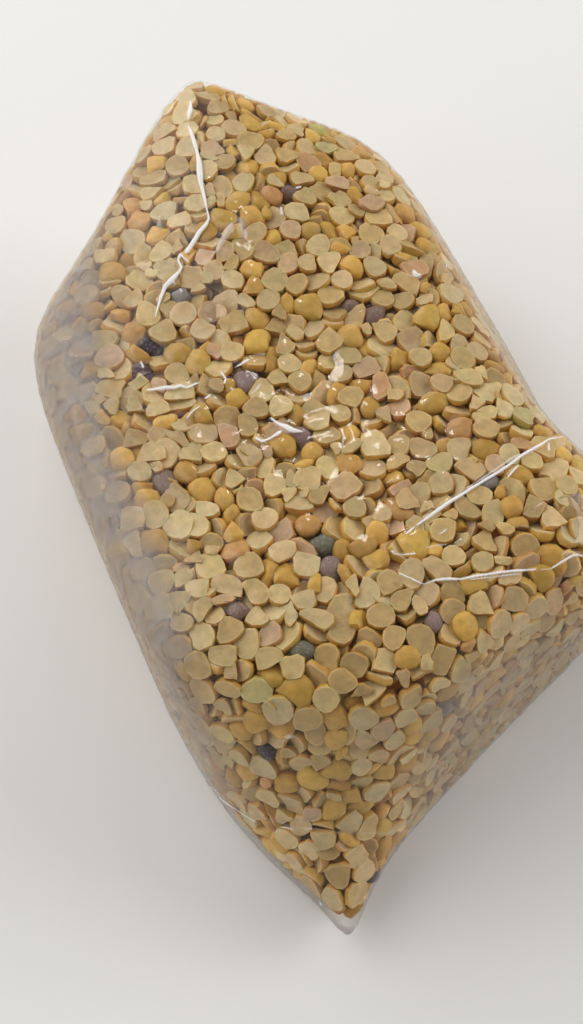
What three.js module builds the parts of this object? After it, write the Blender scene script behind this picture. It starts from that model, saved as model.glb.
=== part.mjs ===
// A sealed clear bag packed tight with split grass peas, lying down.
//
// The film is stretched over a loose fill, so the bag has broad faces that meet in soft ridges, and
// its welded corners stand out as pinched ears. One closed solid stands for the film and the peas
// together, out to the film's outer surface.
//
// Units are millimetres, +Z is up, and the bag rests on z = 0. +Y runs along the bag's long sides,
// away from the end with the two ears. The origin is under the middle of the bag.
import * as THREE from "three";

const CROWN_HEIGHT = 53.8; // from the table to the top face
const HUB_HEIGHT = 29.2; // of the point inside the bag that every reach is measured from
const BASE_BULGE = 0.12; // how far the base would sag below the table, as a share of HUB_HEIGHT
const TAUTNESS = 10; // 2 gives an egg, and higher values give flatter faces and tighter ridges

// Each taut face. Azimuth turns from +X towards +Y, and elevation is the tilt of the face's outward
// normal above the table, both in degrees. Reach is the face's distance from the hub.
const FACES = [
  { name: "top", azimuth: 0, elevation: 90, reach: CROWN_HEIGHT - HUB_HEIGHT },
  { name: "base", azimuth: 0, elevation: -90, reach: HUB_HEIGHT * (1 + BASE_BULGE) },
  { name: "left side", azimuth: 181.5, elevation: -3.5, reach: 37.4 },
  { name: "left corner", azimuth: 208.5, elevation: -0.5, reach: 49 },
  { name: "front slope", azimuth: -116.5, elevation: 27.5, reach: 47 },
  { name: "ear end", azimuth: -66, elevation: 6.5, reach: 46 },
  { name: "right side", azimuth: -1.5, elevation: 24.5, reach: 48 },
  { name: "far slope", azimuth: 67.5, elevation: 39, reach: 77 },
  { name: "far underside", azimuth: 75.5, elevation: -31, reach: 78 },
  { name: "far left slope", azimuth: 108, elevation: 30, reach: 83 },
  { name: "far left end", azimuth: 130, elevation: 19.5, reach: 66.5 },
];

// Each pinched corner: the way it points, how far it stands out, the angle that its foot covers,
// and how blunt it is, where 1 gives a sharp tip and 2 a round one.
const EARS = [
  { name: "near ear", azimuth: -106, elevation: -16.5, length: 15, spread: 5.7, bluntness: 1.15 },
  { name: "right ear", azimuth: -27.5, elevation: 9.5, length: 13, spread: 17, bluntness: 1.4 },
  { name: "far corner", azimuth: 82.5, elevation: 15.5, length: 19, spread: 12, bluntness: 1.3 },
];

// The skin is a net of meridians that run from the table up to the crown.
const MERIDIANS = 120;
const RINGS = 38; // knots along each meridian, at equal distances
const MERIDIAN_SAMPLES = 90; // steps by which a meridian is first followed
const AZIMUTH_SAMPLES = 3600; // steps by which the meridians are dealt out around the bag
const EAR_CROWDING = 2.2; // extra meridians per degree over an ear, as a multiple of the usual
const EAR_MARGIN = 1.6; // how far that crowding spreads, as a multiple of the ear's own spread
const RIM_HALVINGS = 40; // enough to place the rim far within a micrometre

const { degToRad, radToDeg, lerp, euclideanModulo } = THREE.MathUtils;

/** The unit vector towards an azimuth and an elevation in degrees. */
function pointing(azimuth, elevation) {
  const around = degToRad(azimuth);
  const up = degToRad(elevation);
  return new THREE.Vector3(
    Math.cos(up) * Math.cos(around),
    Math.cos(up) * Math.sin(around),
    Math.sin(up),
  );
}

const normals = FACES.map((face) => pointing(face.azimuth, face.elevation));
const earAxes = EARS.map((ear) => pointing(ear.azimuth, ear.elevation));

/** Distance from the hub to the film: a polyhedron of faces with rounded edges, plus the ears. */
function reachAlong(direction) {
  const tension = FACES.reduce(
    (sum, face, i) => sum + Math.max(0, direction.dot(normals[i]) / face.reach) ** TAUTNESS,
    0,
  );
  return EARS.reduce((reach, ear, i) => {
    const turn = radToDeg(direction.angleTo(earAxes[i]));
    return reach + ear.length * Math.exp(-((turn / ear.spread) ** ear.bluntness));
  }, tension ** (-1 / TAUTNESS));
}

/** The point of the film above the hub's azimuth and elevation, before the table flattens it. */
function filmPoint(azimuth, elevation) {
  const direction = pointing(azimuth, elevation);
  const point = direction.clone().multiplyScalar(reachAlong(direction));
  point.z += HUB_HEIGHT;
  return point;
}

/** The elevation at which the film meets the table at an azimuth, by halving the bracket. */
function rimElevation(azimuth) {
  let below = -89;
  let above = 0;
  for (let i = 0; i < RIM_HALVINGS; i++) {
    const middle = (below + above) / 2;
    if (filmPoint(azimuth, middle).z < 0) below = middle;
    else above = middle;
  }
  return above;
}

/** Points along one meridian at equal distances, from the table to the crown. */
function meridian(azimuth) {
  const rim = rimElevation(azimuth);
  const points = [];
  for (let i = 0; i <= MERIDIAN_SAMPLES; i++) {
    points.push(filmPoint(azimuth, lerp(rim, 90, i / MERIDIAN_SAMPLES)));
  }
  points[0].z = 0;
  return new THREE.CatmullRomCurve3(points).getSpacedPoints(RINGS);
}

/** How thickly the meridians stand at an azimuth: 1 is the least, and an ear draws them in. */
function crowding(azimuth) {
  return EARS.reduce((sum, ear) => {
    const turn = euclideanModulo(azimuth - ear.azimuth + 180, 360) - 180;
    return sum + EAR_CROWDING * Math.exp(-((turn / (EAR_MARGIN * ear.spread)) ** 2));
  }, 1);
}

/** Azimuths of the meridians, which stand closer together over the ears. */
function meridianAzimuths() {
  const sampleWidth = 360 / AZIMUTH_SAMPLES;
  const running = [0];
  for (let i = 0; i < AZIMUTH_SAMPLES; i++) running.push(running[i] + crowding(i * sampleWidth));
  const azimuths = [];
  let sample = 0;
  for (let i = 0; i < MERIDIANS; i++) {
    const wanted = (running[AZIMUTH_SAMPLES] * i) / MERIDIANS;
    while (running[sample + 1] <= wanted) sample++;
    azimuths.push(sample * sampleWidth);
  }
  return azimuths;
}

/** The outside of the filled bag as one closed surface, pressed flat where it lies on the table. */
function filledBag() {
  const points = meridianAzimuths().flatMap((azimuth) => meridian(azimuth).slice(0, RINGS));
  const crown = points.length;
  points.push(filmPoint(0, 90));
  const baseCentre = points.length;
  points.push(new THREE.Vector3(0, 0, 0));
  const triangles = [];
  for (let i = 0; i < MERIDIANS; i++) {
    const here = i * RINGS;
    const next = ((i + 1) % MERIDIANS) * RINGS;
    for (let ring = 0; ring < RINGS - 1; ring++) {
      triangles.push(here + ring, next + ring, next + ring + 1);
      triangles.push(here + ring, next + ring + 1, here + ring + 1);
    }
    triangles.push(here + RINGS - 1, next + RINGS - 1, crown);
    triangles.push(next, here, baseCentre);
  }
  const geometry = new THREE.BufferGeometry().setFromPoints(points);
  geometry.setIndex(triangles);
  geometry.computeVertexNormals();
  return geometry;
}

const peasThroughFilm = new THREE.MeshStandardMaterial({
  name: "split peas through clear film",
  color: "#c4a160",
  roughness: 0.35,
  metalness: 0,
});
const filledBagMesh = new THREE.Mesh(filledBag(), peasThroughFilm);
filledBagMesh.name = "filled_bag";

// Bring the origin under the middle of the bag.
const middle = new THREE.Box3().setFromObject(filledBagMesh).getCenter(new THREE.Vector3());
filledBagMesh.position.set(-middle.x, -middle.y, 0);

const bag = new THREE.Group();
bag.name = "bag of split grass peas";
bag.add(filledBagMesh);

export default bag;
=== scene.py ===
"""A sealed clear bag packed tight with split grass peas, lying on a pale table.

The bag's solid gives the outside of the film. Each kind of split pea is one modelled shape. The peas are packed
by a small seeded relaxation that presses them against the film from inside, and each kind is joined into one
mesh. The film is a closed sheet over them, with its pinched creases painted white as highlights, and its milky
stretches, which are partly a painted reflection of the pale floor.
"""

import logging
import math
from collections.abc import Callable, Iterator
from contextlib import contextmanager
from dataclasses import dataclass, field
from enum import Enum
from functools import partial

import bmesh
import bpy
import numpy as np
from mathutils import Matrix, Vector
from mathutils.bvhtree import BVHTree


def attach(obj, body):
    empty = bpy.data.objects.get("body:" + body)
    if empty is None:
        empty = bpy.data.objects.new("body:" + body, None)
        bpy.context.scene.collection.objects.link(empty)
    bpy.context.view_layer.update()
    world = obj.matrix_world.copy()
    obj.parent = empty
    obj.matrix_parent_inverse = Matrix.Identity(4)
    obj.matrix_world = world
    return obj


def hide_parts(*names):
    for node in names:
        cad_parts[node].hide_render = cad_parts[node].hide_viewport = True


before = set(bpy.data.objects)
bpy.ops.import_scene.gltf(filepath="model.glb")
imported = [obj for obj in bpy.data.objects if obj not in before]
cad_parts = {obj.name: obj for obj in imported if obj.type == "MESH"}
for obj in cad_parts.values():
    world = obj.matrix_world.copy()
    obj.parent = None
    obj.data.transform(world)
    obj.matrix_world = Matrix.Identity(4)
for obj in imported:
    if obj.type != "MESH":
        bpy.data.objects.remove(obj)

LOG = logging.getLogger("bag")
MM = 0.001
BAG_NODE = "filled_bag"
BODY = "root"
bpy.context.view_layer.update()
# Corners of the solid that lie closer than this, in millimetres, are one.
MERGE = 0.01
# Stands in for a length of zero where something is divided by it.
TINY = 1e-9

Pixel = tuple[float, float]


# --- Small helpers ---


def linear(hex_colour: str) -> tuple[float, float, float, float]:
    """Turns an sRGB hex colour into linear red, green, blue and alpha.

    Args:
        hex_colour: Six hex digits after a hash sign.

    Returns:
        The linear colour, opaque.
    """
    channels = [int(hex_colour[i : i + 2], 16) / 255 for i in (1, 3, 5)]
    red, green, blue = (c / 12.92 if c <= 0.04045 else ((c + 0.055) / 1.055) ** 2.4 for c in channels)
    return red, green, blue, 1.0


def add_node(
    tree: bpy.types.NodeTree,
    kind: str,
    inputs: dict[int | str, object] | None = None,
    stops: list[tuple[float, tuple]] | None = None,
    **settings: object,
) -> bpy.types.Node:
    """Adds one node with its settings, and fills or links its inputs.

    Args:
        tree: The node tree that the node goes in.
        kind: The node's type name.
        inputs: A value, or a socket to link from, for each input by name or number.
        stops: The places and colours of a colour ramp.
        **settings: The node's own properties.

    Returns:
        The new node.
    """
    node = tree.nodes.new(kind)
    for name, value in settings.items():
        setattr(node, name, value)
    for name, value in (inputs or {}).items():
        if isinstance(value, bpy.types.NodeSocket):
            tree.links.new(value, node.inputs[name])
        else:
            node.inputs[name].default_value = value
    if stops:
        elements = node.color_ramp.elements
        while len(elements) < len(stops):
            elements.new(1.0)
        for element, (place, colour) in zip(elements, stops):
            element.position = place
            element.color = colour
    return node


def new_material(name: str) -> tuple[bpy.types.Material, Callable[..., bpy.types.Node]]:
    """Makes a material with an empty node tree.

    Args:
        name: The material's name.

    Returns:
        The material, and add_node for its tree.
    """
    material = bpy.data.materials.new(name)
    material.use_nodes = True
    material.node_tree.nodes.clear()
    return material, partial(add_node, material.node_tree)


def select_only(piece: bpy.types.Object | None = None) -> None:
    """Goes to object mode and selects one object alone, or nothing."""
    if bpy.context.object and bpy.context.object.mode != "OBJECT":
        bpy.ops.object.mode_set(mode="OBJECT")
    bpy.ops.object.select_all(action="DESELECT")
    if piece:
        piece.select_set(True)
    bpy.context.view_layer.objects.active = piece


@contextmanager
def editing(piece: bpy.types.Object) -> Iterator[None]:
    """Opens a piece in edit mode with all of it selected, and closes it again."""
    select_only(piece)
    bpy.ops.object.mode_set(mode="EDIT")
    bpy.ops.mesh.select_all(action="SELECT")
    yield
    bpy.ops.object.mode_set(mode="OBJECT")


def even_out(piece: bpy.types.Object, repeat: int) -> None:
    """Moves each of a piece's vertices halfway to the middle of its neighbours, a few times over."""
    with editing(piece):
        bpy.ops.mesh.vertices_smooth(factor=0.5, repeat=repeat)


def apply_modifier(piece: bpy.types.Object, kind: str, **settings: object) -> None:
    """Adds a modifier to a piece and applies it.

    Args:
        piece: The piece to change.
        kind: The modifier's type.
        **settings: The modifier's properties.
    """
    select_only(piece)
    modifier = piece.modifiers.new(kind.title(), kind)
    for name, value in settings.items():
        setattr(modifier, name, value)
    bpy.ops.object.modifier_apply(modifier=modifier.name)


def place_in_row(piece: bpy.types.Object, material: bpy.types.Material) -> None:
    """Gives a finished piece its material, and lets it ride and stand for the bag's solid."""
    piece.data.materials.clear()
    piece.data.materials.append(material)
    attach(piece, BODY)
    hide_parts(BAG_NODE)
    LOG.info("%s: %d faces", piece.name, len(piece.data.polygons))


def copy_of(node: bpy.types.Object, name: str) -> bpy.types.Object:
    """Copies a CAD node with its own mesh and merges its loose corners."""
    piece = bpy.data.objects.new(name, node.data.copy())
    piece.data.name = name
    bpy.context.scene.collection.objects.link(piece)
    with editing(piece):
        bpy.ops.mesh.remove_doubles(threshold=MERGE * MM)
    return piece


def points_of(mesh: bpy.types.Mesh, scale: float = 1.0) -> np.ndarray:
    """A mesh's vertices as rows, times a scale."""
    flat = np.empty(len(mesh.vertices) * 3)
    mesh.vertices.foreach_get("co", flat)
    return flat.reshape(-1, 3) * scale


def normals_of(mesh: bpy.types.Mesh) -> np.ndarray:
    """A mesh's vertex normals as rows."""
    flat = np.empty(len(mesh.vertices) * 3)
    mesh.vertex_normals.foreach_get("vector", flat)
    return flat.reshape(-1, 3)


def set_points(mesh: bpy.types.Mesh, points: np.ndarray) -> None:
    """Moves a mesh's vertices to rows in metres."""
    mesh.vertices.foreach_set("co", np.ascontiguousarray(points, dtype=np.float32).ravel())
    mesh.update()


def set_values(mesh: bpy.types.Mesh, name: str, values: np.ndarray) -> None:
    """Stores one number a vertex as an attribute that a material can read."""
    layer = mesh.attributes.new(name, "FLOAT", "POINT")
    layer.data.foreach_set("value", np.ascontiguousarray(values, dtype=np.float32))


def unit_rows(vectors: np.ndarray) -> np.ndarray:
    """Each row scaled to length 1, and rows of no length left as they are."""
    return vectors / np.maximum(np.linalg.norm(vectors, axis=-1, keepdims=True), TINY)


def direction(azimuth: float, elevation: float) -> tuple[float, float, float]:
    """The unit direction at a bearing from the x axis and a height, both in degrees."""
    turn, tilt = math.radians(azimuth), math.radians(elevation)
    return math.cos(tilt) * math.cos(turn), math.cos(tilt) * math.sin(turn), math.sin(tilt)


def smooth_step(low: float, high: float, values: np.ndarray) -> np.ndarray:
    """Rises from 0 at low to 1 at high without a kink."""
    share = np.clip((values - low) / (high - low), 0, 1)
    return share * share * (3 - 2 * share)


def path_distance(points: np.ndarray, path: np.ndarray) -> tuple[np.ndarray, np.ndarray]:
    """Measures how far points are from a path of straight steps.

    Args:
        points: Rows of places.
        path: Rows of the path's corners.

    Returns:
        The distance of each point, and how far along the path its nearest place is, from 0 to 1.
    """
    steps = np.linalg.norm(np.diff(path, axis=0), axis=1)
    starts = np.concatenate([[0], np.cumsum(steps)]) / steps.sum()
    best = np.full(len(points), np.inf)
    along = np.zeros(len(points))
    for k, (start, end) in enumerate(zip(path[:-1], path[1:])):
        side = end - start
        share = np.clip((points - start) @ side / max(side @ side, TINY), 0, 1)
        distance = np.linalg.norm(points - start - share[:, None] * side, axis=1)
        nearer = distance < best
        best[nearer] = distance[nearer]
        along[nearer] = starts[k] + share[nearer] * (starts[k + 1] - starts[k])
    return best, along


# --- The photograph's view ---


@dataclass(frozen=True)
class PhotoView:
    """The photograph's camera. Pixels are in its own frame, and lengths in millimetres."""

    width_px: int = 583
    height_px: int = 1024
    focal_px: float = 1440.0
    azimuth: float = -22.0
    elevation: float = 62.0
    distance: float = 248.3
    aim: tuple[float, float, float] = (-18.8, -19.6, 53.8)
    # The sensor's longer side, and the nearest and farthest that the camera sees, in metres.
    sensor: float = 36.0
    clip: tuple[float, float] = (0.01, 20.0)

    def axes(self) -> np.ndarray:
        """The image's right and up directions and the way the camera looks, as rows."""
        turn, tilt = math.radians(self.azimuth), math.radians(self.elevation)
        right = np.array([math.cos(turn), math.sin(turn), 0.0])
        level = np.array([-math.sin(turn), math.cos(turn), 0.0])
        ahead = level * math.cos(tilt) - np.array([0, 0, math.sin(tilt)])
        return np.stack([right, np.cross(right, ahead), ahead])

    def eye(self) -> np.ndarray:
        """Where the camera stands."""
        return np.array(self.aim) - self.axes()[2] * self.distance

    def ray(self, pixel: Pixel) -> np.ndarray:
        """The direction through one pixel."""
        right, up, ahead = self.axes()
        across = (pixel[0] - self.width_px / 2) / self.focal_px
        down = (pixel[1] - self.height_px / 2) / self.focal_px
        return unit_rows(ahead + right * across - up * down)

    def pixels(self, points: np.ndarray) -> np.ndarray:
        """The pixel at which each point would show, as rows."""
        right, up, ahead = self.axes()
        out = points - self.eye()
        depth = out @ ahead
        across = self.width_px / 2 + self.focal_px * (out @ right) / depth
        down = self.height_px / 2 - self.focal_px * (out @ up) / depth
        return np.stack([across, down], -1)

    def build(self) -> None:
        """Adds the camera and makes it the scene's own."""
        data = bpy.data.cameras.new("photo_view")
        data.sensor_width = self.sensor
        data.lens = self.sensor * self.focal_px / self.height_px
        data.clip_start, data.clip_end = self.clip
        camera = bpy.data.objects.new("photo_view", data)
        camera.location = Vector(self.eye() * MM)
        camera.rotation_euler = Vector(self.axes()[2]).to_track_quat("-Z", "Y").to_euler()
        bpy.context.scene.collection.objects.link(camera)
        bpy.context.scene.camera = camera


# --- The bag's form ---


@dataclass
class BagForm:
    """The outside of the bag from its solid, and how deep any point lies in it. Lengths are in millimetres."""

    spacing: float = 2.0
    margin: float = 5.0
    # A place is inside when the way to it from the solid runs against the normal by this cosine or more.
    inward: float = 0.7
    # How far along a ray that misses the bag its nearest place is looked for: from, to and step.
    reaches: tuple[float, float, float] = (180.0, 330.0, 1.0)

    def measure(self, node: bpy.types.Object) -> None:
        """Merges a copy of the solid and measures its depths on a grid.

        Args:
            node: The bag's solid.
        """
        shape = bmesh.new()
        shape.from_mesh(node.data)
        bmesh.ops.scale(shape, vec=(1 / MM,) * 3, verts=shape.verts)
        bmesh.ops.remove_doubles(shape, verts=shape.verts, dist=MERGE)
        self.tree = BVHTree.FromBMesh(shape)
        points = np.array([vertex.co for vertex in shape.verts])
        shape.free()
        self.low = points.min(0) - self.margin
        counts = np.ceil((points.max(0) + self.margin - self.low) / self.spacing).astype(int) + 1
        self.depths = np.empty(counts)
        for index in np.ndindex(*counts):
            place = Vector(self.low + np.array(index) * self.spacing)
            nearest, normal, _, distance = self.tree.find_nearest(place)
            inside = (place - nearest).dot(normal) < -self.inward * distance
            self.depths[index] = -distance if inside else distance
        slopes = np.gradient(self.depths, self.spacing)
        self.knots = np.stack([self.depths, *slopes], -1).reshape(-1, 4).astype(np.float32)

    def high(self) -> np.ndarray:
        """The grid's highest corner."""
        return self.low + (np.array(self.depths.shape) - 1) * self.spacing

    def sample(self, points: np.ndarray) -> tuple[np.ndarray, np.ndarray]:
        """Reads the grid between its knots.

        Args:
            points: Rows of places.

        Returns:
            The distance to the film, negative inside, and the unit direction that leads outwards.
        """
        place = (points - self.low) / self.spacing
        shape = np.array(self.depths.shape)
        cell = np.clip(place.astype(np.int32), 0, shape - 2)
        share = np.clip(place - cell, 0, 1).astype(np.float32)
        steps = np.array([shape[1] * shape[2], shape[2], 1])
        base = cell @ steps
        found = np.zeros((len(points), 4), np.float32)
        for corner in np.ndindex(2, 2, 2):
            x, y, z = (share[:, k] if corner[k] else 1 - share[:, k] for k in range(3))
            found += (x * y * z)[:, None] * self.knots[base + steps @ corner]
        return found[:, 0].astype(float), unit_rows(found[:, 1:].astype(float))

    def under_pixel(self, view: PhotoView, pixel: Pixel) -> tuple[np.ndarray, np.ndarray]:
        """Finds the place on the film that a pixel shows, or the nearest to a ray that misses the bag.

        Args:
            view: The photograph's camera.
            pixel: The pixel.

        Returns:
            The place and the film's outward normal there.
        """
        eye, ray = Vector(view.eye()), Vector(view.ray(pixel))
        place, normal, _, _ = self.tree.ray_cast(eye, ray)
        if place is None:
            trials = [self.tree.find_nearest(eye + ray * reach) for reach in np.arange(*self.reaches)]
            place, normal, _, _ = min(trials, key=lambda trial: trial[3])
        return np.array(place), np.array(normal)


# --- The kinds of pea ---


class PeaKind(Enum):
    """The kinds of piece in the fill."""

    ROUND_HALF = "round_halves"
    OVAL_HALF = "oval_halves"
    BLUNT_HALF = "blunt_halves"
    BROKEN_HALF = "broken_halves"
    WEDGE = "wedges"
    CHIP = "chips"
    DARK_SEED = "dark_seeds"


@dataclass(frozen=True)
class PeaCut:
    """How one kind of pea is shaped. Lengths are in millimetres."""

    share: float
    radius: tuple[float, float]
    thickness: tuple[float, float]
    stretch: tuple[float, float]
    # How far the outline swells two, three and four times round, as shares of the radius.
    lobes: tuple[float, float, float]
    # How uneven the surface is.
    rough: float
    # Where each broken side runs, as a share of the radius, and how rounded its corners are.
    breaks: tuple[float, ...] = ()
    corner: float = 0.5
    # The share of its area that a break takes, and of its outline's full height that a domed pea fills.
    break_loss: float = 0.2
    filled: float = 0.84

    def volume(self) -> float:
        """About how much room one such pea takes."""
        area = math.pi * np.mean(self.radius) ** 2 * (1 - self.break_loss * len(self.breaks))
        return float(area * np.mean(self.thickness) * self.filled)


PEA_CUTS: dict[PeaKind, PeaCut] = {
    PeaKind.ROUND_HALF: PeaCut(0.19, (2.05, 2.75), (1.7, 2.3), (0.92, 1.08), (0.03, 0.04, 0.03), 0.04),
    PeaKind.OVAL_HALF: PeaCut(0.18, (2.05, 2.75), (1.6, 2.2), (1.10, 1.35), (0.03, 0.05, 0.03), 0.04),
    PeaKind.BLUNT_HALF: PeaCut(0.25, (2.2, 3.0), (1.7, 2.4), (0.90, 1.15), (0.05, 0.09, 0.09), 0.06),
    PeaKind.BROKEN_HALF: PeaCut(0.19, (2.2, 3.05), (1.6, 2.2), (0.95, 1.25), (0.05, 0.07, 0.06), 0.08, (0.4,)),
    PeaKind.WEDGE: PeaCut(0.07, (2.3, 2.95), (1.3, 2.0), (0.95, 1.3), (0.05, 0.06, 0.05), 0.09, (0.5, 0.35)),
    PeaKind.CHIP: PeaCut(0.12, (1.3, 2.0), (0.9, 1.4), (1.0, 1.6), (0.08, 0.1, 0.08), 0.08, (0.4,)),
}
DARK_CUT = PeaCut(0.0, (2.1, 2.6), (3.4, 4.2), (0.95, 1.15), (0.05, 0.06, 0.06), 0.05)


class Husk(Enum):
    """The colours of the whole seeds' husks."""

    BROWN = "#806558"
    MAUVE = "#8b716a"
    PURPLE = "#5c4248"
    BLACK = "#3a2f36"
    GREY = "#88807a"
    GREEN = "#6b6955"


class PeaCrop:
    """The sizes of every pea of a kind, which its packing spheres and its mesh share."""

    # A pea's lobes as shares of its kind's, how much its broken sides shift, and the turn between the two sides.
    LOBE_SHARES = (0.3, 1.6)
    BREAK_SPREAD = 0.25
    BREAK_TURN = 1.9
    # How much of an inset a broken side gets, and the least reach of an outline.
    BREAK_INSET = 0.6
    LEAST_REACH = 0.2

    def __init__(self, cut: PeaCut, count: int, rng: np.random.Generator) -> None:
        """Draws the sizes.

        Args:
            cut: The kind's sizes.
            count: How many peas there are.
            rng: The seeded source of chance.
        """
        self.cut = cut
        self.radius = rng.uniform(*cut.radius, count)
        self.thickness = rng.uniform(*cut.thickness, count)
        self.stretch = rng.uniform(*cut.stretch, count)
        self.phases = rng.uniform(0, 2 * np.pi, (3, count))
        self.lobes = rng.uniform(*self.LOBE_SHARES, (3, count)) * np.array(cut.lobes)[:, None]
        self.break_turns = rng.uniform(0, 2 * np.pi, count) + np.array([[0.0], [self.BREAK_TURN]])
        self.break_places = rng.normal(1.0, self.BREAK_SPREAD, (2, count))

    def outline(self, flat: np.ndarray, inset: np.ndarray | float = 0.0) -> np.ndarray:
        """Bends points of a round disc of radius 1 to each pea's outline.

        Args:
            flat: Points across the disc, as an array of peas by points by 2.
            inset: How far inside the outline the points stay.

        Returns:
            The points in millimetres.
        """
        turn = np.arctan2(flat[..., 1], flat[..., 0])
        reach = np.hypot(flat[..., 0], flat[..., 1])
        swell = np.ones_like(turn)
        for k in range(3):
            swell += self.lobes[k][:, None] * np.cos((k + 2) * turn + self.phases[k][:, None])
        out = reach * np.maximum(self.radius[:, None] * swell - inset, self.LEAST_REACH)
        grow = np.sqrt(self.stretch)[:, None]
        across, along = out * np.cos(turn) / grow, out * np.sin(turn) * grow
        for k, place in enumerate(self.cut.breaks):
            c, s = np.cos(self.break_turns[k])[:, None], np.sin(self.break_turns[k])[:, None]
            line = (self.radius * place * self.break_places[k])[:, None] - inset * self.BREAK_INSET
            over = across * c + along * s - line
            over = (over + np.hypot(over, self.cut.corner)) / 2
            across, along = across - over * c, along - over * s
        return np.stack([across, along], -1)


# --- The packing ---


@dataclass
class PeaPacking:
    """Presses the peas against the film from inside, each held by seven spheres. Lengths are in millimetres."""

    # How deep under the film the peas lie, how deep they start at least, and the share of that room they fill.
    depth: float = 7.5
    start_depth: float = 1.3
    fill: float = 0.70
    # How far inside the film a sphere stays, and how much further near the weld.
    clearance: float = 0.15
    weld_clearance: float = 1.7
    weld_reach: float = 3.2
    # How many rounds the peas grow and are pushed outwards, and how many they settle after that.
    rounds: int = 150
    settle: int = 50
    # The size they start with, what it gains, and the share of the rounds that this takes.
    first_size: float = 0.55
    size_gain: float = 0.45
    growing: float = 0.75
    # How many rounds a list of neighbours serves, and how much further than touching it reaches.
    pair_rounds: int = 6
    skin: float = 0.5
    # How far a pea is pushed to the film in a round, and how strongly it turns its broad side to it.
    push: float = 0.08
    lie_flat: float = 0.015
    # How much too deep a sphere counts as at most, and the share of that by which it is moved back.
    deep_step: float = 1.0
    deep_share: float = 0.5
    # How much of its push a pea gives way to, its stiffness against turning, and its greatest turn in radians.
    relax: float = 1.3
    stiffness: float = 1.5
    most_turn: float = 0.3
    # The largest sphere's radius, and how many places are tried for the peas' starts.
    thickest: float = 1.25
    trials: int = 400_000
    # Dark seeds that lie where the film faces sideways or down: how many, its normal's greatest height there,
    # and their radii.
    hidden_seeds: int = 26
    hidden_tilt: float = 0.3
    hidden_radius: tuple[float, float] = (1.8, 2.3)
    # A dark seed's radius and thickness, as shares of the radius that it is given.
    seed_shares: tuple[float, float] = (1.08, 1.75)
    # How many of the peas that start with their back to the film are turned over.
    turned: float = 0.5
    seed: int = 11

    def deal(self, form: BagForm, seeds: np.ndarray, seed_sizes: np.ndarray, weld: np.ndarray) -> None:
        """Deals the peas out at random inside the film.

        Args:
            form: The bag's form.
            seeds: Where the dark seeds that show lie.
            seed_sizes: Their radii.
            weld: The path of the bag's weld, which the peas keep clear of.
        """
        self.form = form
        self.weld = weld
        self.rng = np.random.default_rng(self.seed)
        low, high = form.low, form.high()
        trials = self.rng.uniform(low, high, (self.trials, 3))
        distance, _ = form.sample(trials)
        inside = trials[(distance < -self.start_depth) & (distance > -self.depth)]
        shell = len(inside) / len(trials) * np.prod(high - low)
        mean_volume = sum(cut.share * cut.volume() for cut in PEA_CUTS.values())
        wanted = int(self.fill * shell / mean_volume)
        LOG.info("packing %d peas in a shell of %.0f cm3", wanted, shell / 1000)
        kinds = self.rng.choice(len(PEA_CUTS), wanted, p=[cut.share for cut in PEA_CUTS.values()])
        self.crops: dict[PeaKind, PeaCrop] = {}
        self.members: dict[PeaKind, np.ndarray] = {}
        centres: list[np.ndarray] = []
        start = 0
        for number, (kind, cut) in enumerate(PEA_CUTS.items()):
            mine = inside[:wanted][kinds == number]
            self.crops[kind] = PeaCrop(cut, len(mine), self.rng)
            self.members[kind] = np.arange(start, start + len(mine))
            centres.append(mine)
            start += len(mine)
        spare = inside[wanted:]
        extra = spare[form.sample(spare)[1][:, 2] < self.hidden_tilt][: self.hidden_seeds]
        sizes = np.concatenate([seed_sizes, self.rng.uniform(*self.hidden_radius, len(extra))])
        crop = PeaCrop(DARK_CUT, len(sizes), self.rng)
        crop.radius, crop.thickness = (sizes * share for share in self.seed_shares)
        self.crops[PeaKind.DARK_SEED] = crop
        self.members[PeaKind.DARK_SEED] = np.arange(start, start + len(sizes))
        self.centres = np.vstack([*centres, seeds, extra])
        self.turns = self.random_turns(len(self.centres))
        _, outward = form.sample(self.centres)
        from_behind = (self.turns[:, :, 2] * outward).sum(1) < 0
        self.turns[from_behind & (self.rng.random(len(outward)) < self.turned), :, 1:] *= -1
        self.free = np.ones((len(self.centres), 1))
        self.free[start : start + len(seeds)] = 0.0
        self.add_spheres()

    def random_turns(self, count: int) -> np.ndarray:
        """Random rotations, as one matrix each."""
        w, x, y, z = unit_rows(self.rng.normal(size=(count, 4))).T
        rows = [
            [1 - 2 * (y * y + z * z), 2 * (x * y - z * w), 2 * (x * z + y * w)],
            [2 * (x * y + z * w), 1 - 2 * (x * x + z * z), 2 * (y * z - x * w)],
            [2 * (x * z - y * w), 2 * (y * z + x * w), 1 - 2 * (x * x + y * y)],
        ]
        return np.moveaxis(np.array(rows), -1, 0)

    def add_spheres(self) -> None:
        """Puts seven spheres in each pea, one in its middle and six around it."""
        count = len(self.centres)
        self.local = np.zeros((count, 7, 3))
        self.radii = np.zeros((count, 7))
        turn = np.arange(6) * np.pi / 3
        ring = np.stack([np.cos(turn), np.sin(turn)], -1)
        for kind, at in self.members.items():
            crop = self.crops[kind]
            radius = np.minimum(crop.thickness[:, None] / 2, self.thickest)
            self.radii[at] = radius
            self.local[at, 1:, :2] = crop.outline(np.broadcast_to(ring, (len(at), 6, 2)), radius)
            if kind is PeaKind.DARK_SEED:
                # A whole seed is round, so three of its spheres stand above the other three.
                self.local[at, 1:, 2] = (crop.thickness[:, None] / 2 - radius) * np.array([1, -1] * 3)
            self.local[at, 0] = self.local[at, 1:].mean(1)
        # Each pea turns about the middle of its spheres.
        self.middles = self.local.mean(1)
        self.local -= self.middles[:, None]

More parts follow.
